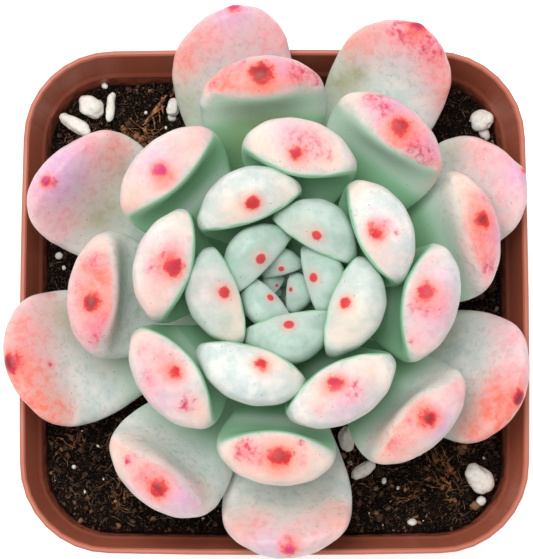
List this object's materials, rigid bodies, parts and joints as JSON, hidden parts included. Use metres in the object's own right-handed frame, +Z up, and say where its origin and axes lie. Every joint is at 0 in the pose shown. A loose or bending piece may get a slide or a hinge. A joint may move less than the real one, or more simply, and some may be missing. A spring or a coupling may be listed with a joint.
{
  "type": "potted succulent",
  "caption": "Rosette succulent with plump pointed leaves in a square tapered plastic nursery pot filled with soil.",
  "frame": {"origin": "middle of the pot's underside, on the surface that the pot stands on", "axes": "+Z up out of the pot's mouth; +X and +Y square to the pot's sides, with +X to the right and +Y to the top of the picture, which looks down on the plant"},
  "size_m": [0.0925, 0.0973, 0.1087],
  "materials": {
    "pot_plastic": "satin terracotta-coloured polypropylene",
    "soil": "dark peaty potting mix",
    "perlite": "matt white expanded volcanic glass",
    "stem": "green-brown stem",
    "leaf_skin": "waxy, juicy leaf, soft satin"
  },
  "bodies": {
    "root": {"pot": "pot_plastic", "soil": "soil", "stem": "stem", "perlite_1": "perlite", "perlite_2": "perlite", "perlite_3": "perlite", "perlite_4": "perlite", "perlite_5": "perlite", "perlite_6": "perlite", "perlite_7": "perlite", "perlite_8": "perlite", "leaf_01": "leaf_skin", "leaf_02": "leaf_skin", "leaf_03": "leaf_skin", "leaf_04": "leaf_skin", "leaf_05": "leaf_skin", "leaf_06": "leaf_skin", "leaf_07": "leaf_skin", "leaf_08": "leaf_skin", "leaf_09": "leaf_skin", "leaf_10": "leaf_skin", "leaf_11": "leaf_skin", "leaf_12": "leaf_skin", "leaf_13": "leaf_skin", "leaf_14": "leaf_skin", "leaf_15": "leaf_skin", "leaf_16": "leaf_skin", "leaf_17": "leaf_skin", "leaf_18": "leaf_skin", "leaf_19": "leaf_skin", "leaf_20": "leaf_skin", "leaf_21": "leaf_skin", "leaf_22": "leaf_skin", "leaf_23": "leaf_skin", "leaf_24": "leaf_skin", "leaf_25": "leaf_skin", "leaf_26": "leaf_skin", "leaf_27": "leaf_skin", "leaf_28": "leaf_skin", "leaf_29": "leaf_skin", "leaf_30": "leaf_skin", "leaf_31": "leaf_skin", "leaf_32": "leaf_skin", "leaf_34": "leaf_skin"}
  },
  "joints": []
}
